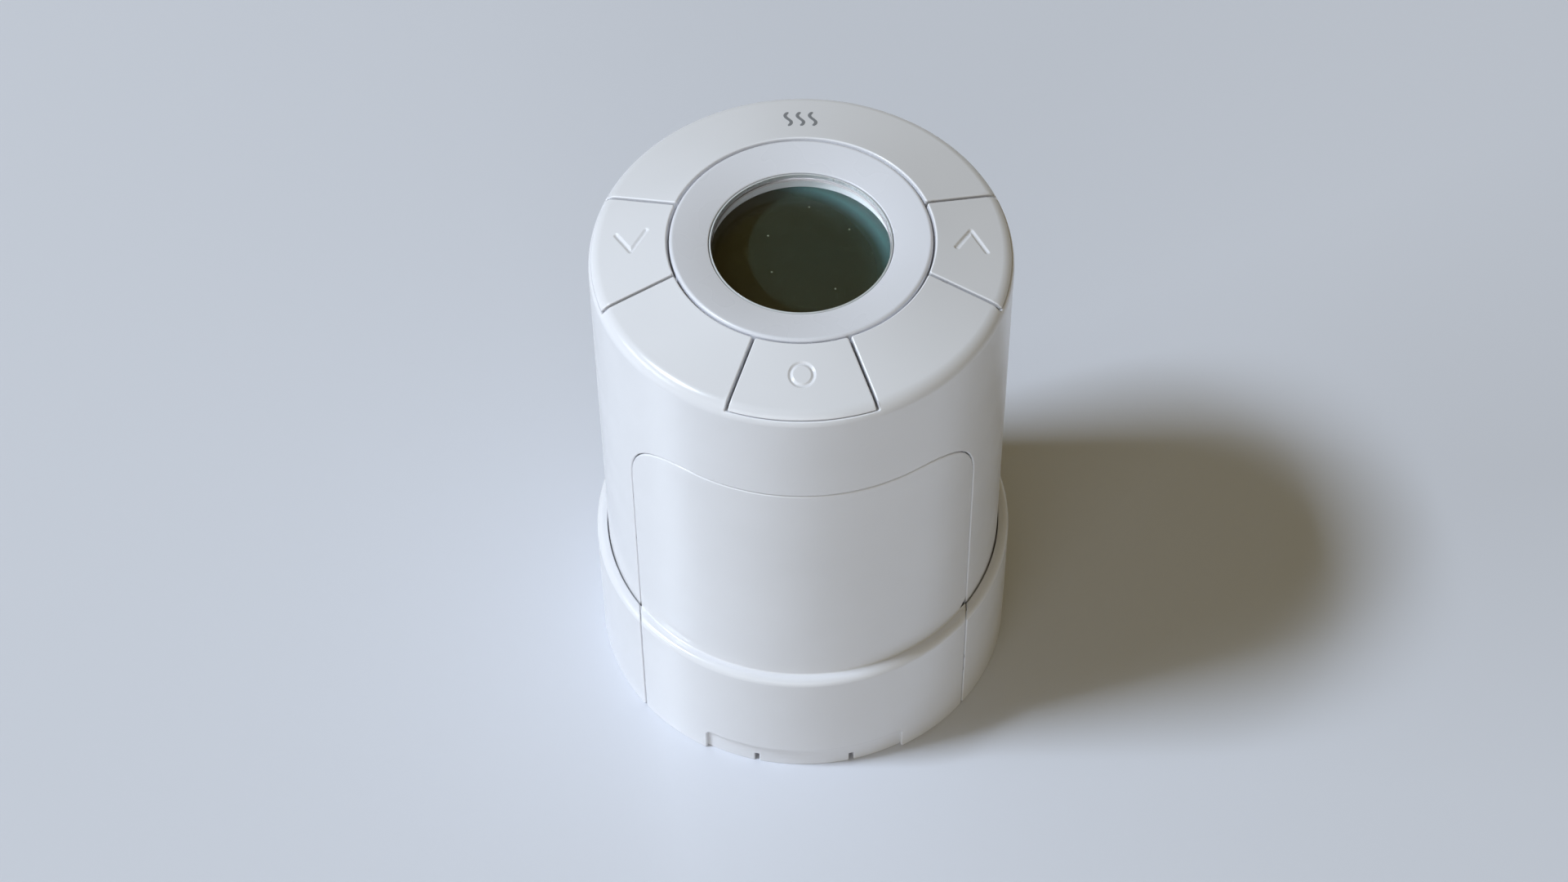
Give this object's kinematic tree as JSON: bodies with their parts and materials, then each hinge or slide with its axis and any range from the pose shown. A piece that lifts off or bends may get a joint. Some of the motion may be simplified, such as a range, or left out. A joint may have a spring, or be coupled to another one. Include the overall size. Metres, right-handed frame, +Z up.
{
  "type": "thermostatic radiator valve",
  "caption": "Electronic radiator thermostat head: display under a round lens, flex push buttons, battery cover, geared spindle drive and a union nut for the valve.",
  "frame": {"origin": "centre of the base, on the surface the valve head stands on", "axes": "+Z up along the spindle, from the valve coupling to the display; the battery cover and the round-dot button face -Y"},
  "size_m": [0.054, 0.054, 0.0752],
  "materials": {
    "white_shell": "satin white ABS",
    "bezel_plastic": "satin pale grey ABS",
    "inner_plastic": "matt pale grey ABS",
    "lens": "clear polished",
    "lcd": "dark reflective LCD",
    "light_guide": "clear acrylic",
    "seal_foam": "pale grey silicone foam",
    "elastomer": "conductive elastomer",
    "dark_plastic": "black moulded",
    "pcb": "solder mask on glass epoxy",
    "steel": "bright steel",
    "nickel": "nickel plated spring steel",
    "copper": "bare copper wire",
    "brass": "turned brass",
    "gear_plastic": "natural acetal",
    "cell_wrap": "printed film wrap",
    "wire": "silicone insulated wire",
    "nut_metal": "satin nickel plated brass"
  },
  "bodies": {
    "body": {"housing": "white_shell", "base_collar": "white_shell", "bezel_ring": "bezel_plastic", "display_lens": "lens", "lens_seal": "seal_foam", "lcd_frame": "inner_plastic", "lcd_cell": "lcd", "light_guide": "light_guide", "lcd_connectors": "elastomer", "switch_down": "dark_plastic", "switch_up": "dark_plastic", "switch_select": "dark_plastic", "main_pcb": "pcb", "pcb_screws": "steel", "microcontroller": "dark_plastic", "radio_module": "nickel", "antenna": "copper", "temperature_sensor": "dark_plastic", "chassis": "inner_plastic", "base_cover": "inner_plastic", "base_cover_screws": "steel", "battery_left": "cell_wrap", "battery_right": "cell_wrap", "contact_link": "nickel", "contact_positive": "nickel", "contact_spring": "nickel", "motor": "steel", "motor_leads": "wire", "gearbox_base": "inner_plastic", "gearbox_cover": "inner_plastic", "gearbox_screws": "steel", "gear_pins": "steel", "thrust_washer": "steel", "coupling_bush": "nut_metal"},
    "battery_cover": {"battery_cover": "white_shell", "cell_pad": "seal_foam"},
    "button_down": {"button_down": "white_shell"},
    "button_up": {"button_up": "white_shell"},
    "button_select": {"button_select": "white_shell"},
    "stem_down": {"stem_down": "dark_plastic"},
    "stem_up": {"stem_up": "dark_plastic"},
    "stem_select": {"stem_select": "dark_plastic"},
    "drive_gear": {"drive_gear": "gear_plastic"},
    "spindle": {"spindle": "steel", "spindle_tip": "brass"},
    "lower_gear": {"lower_gear": "gear_plastic"},
    "upper_gear": {"upper_gear": "gear_plastic"},
    "motor_pinion": {"motor_pinion": "brass"},
    "coupling_nut": {"coupling_nut": "nut_metal"}
  },
  "joints": [
    {"name": "cover_slide", "type": "slide", "parent": "body", "child": "battery_cover", "axis": [0, -1, 0], "range_m": [0, 0.03]},
    {"name": "down_press", "type": "hinge", "parent": "body", "child": "button_down", "pos_m": [-0.025, 0, 0.072], "axis": [0, 1, 0], "range_deg": [0, 2.5], "stiffness_Nm_per_rad": 0.15, "springref_deg": -1.15},
    {"name": "down_stem_slide", "type": "slide", "parent": "body", "child": "stem_down", "axis": [0, 0, -1], "range_m": [0, 0.000235]},
    {"name": "up_press", "type": "hinge", "parent": "body", "child": "button_up", "pos_m": [0.025, 0, 0.072], "axis": [0, -1, 0], "range_deg": [0, 2.5], "stiffness_Nm_per_rad": 0.15, "springref_deg": -1.15},
    {"name": "up_stem_slide", "type": "slide", "parent": "body", "child": "stem_up", "axis": [0, 0, -1], "range_m": [0, 0.000235]},
    {"name": "select_press", "type": "hinge", "parent": "body", "child": "button_select", "pos_m": [0, -0.025, 0.072], "axis": [-1, 0, 0], "range_deg": [0, 2.5], "stiffness_Nm_per_rad": 0.15, "springref_deg": -1.15},
    {"name": "select_stem_slide", "type": "slide", "parent": "body", "child": "stem_select", "axis": [0, 0, -1], "range_m": [0, 0.000235]},
    {"name": "spindle_slide", "type": "slide", "parent": "body", "child": "spindle", "axis": [0, 0, -1], "range_m": [0, 0.0045]},
    {"name": "drive_turn", "type": "hinge", "parent": "body", "child": "drive_gear", "pos_m": [0, 0, 0.033], "axis": [0, 0, 1], "range_deg": [0, 1621.62]},
    {"name": "lower_gear_turn", "type": "hinge", "parent": "body", "child": "lower_gear", "pos_m": [0, 0.00755, 0.033], "axis": [0, 0, 1], "range_deg": [-3243.24, 0]},
    {"name": "upper_gear_turn", "type": "hinge", "parent": "body", "child": "upper_gear", "pos_m": [0.0087, 0.01257, 0.033], "axis": [0, 0, 1], "range_deg": [0, 9729.72]},
    {"name": "pinion_turn", "type": "hinge", "parent": "body", "child": "motor_pinion", "pos_m": [0.00028, 0.01406, 0.033], "axis": [0, 0, 1], "range_deg": [-23351.33, 0]},
    {"name": "nut_turn", "type": "hinge", "parent": "body", "child": "coupling_nut", "pos_m": [0, 0, 0.005], "axis": [0, 0, 1], "continuous": true}
  ],
  "couplings": [
    {"joint": "down_press", "follows": "down_stem_slide", "rad_per_m": 185.19},
    {"joint": "up_press", "follows": "up_stem_slide", "rad_per_m": 185.19},
    {"joint": "select_press", "follows": "select_stem_slide", "rad_per_m": 185.19},
    {"joint": "drive_turn", "follows": "spindle_slide", "rad_per_m": 6283.2},
    {"joint": "lower_gear_turn", "follows": "spindle_slide", "rad_per_m": -12566},
    {"joint": "upper_gear_turn", "follows": "spindle_slide", "rad_per_m": 37699},
    {"joint": "pinion_turn", "follows": "spindle_slide", "rad_per_m": -90478}
  ]
}
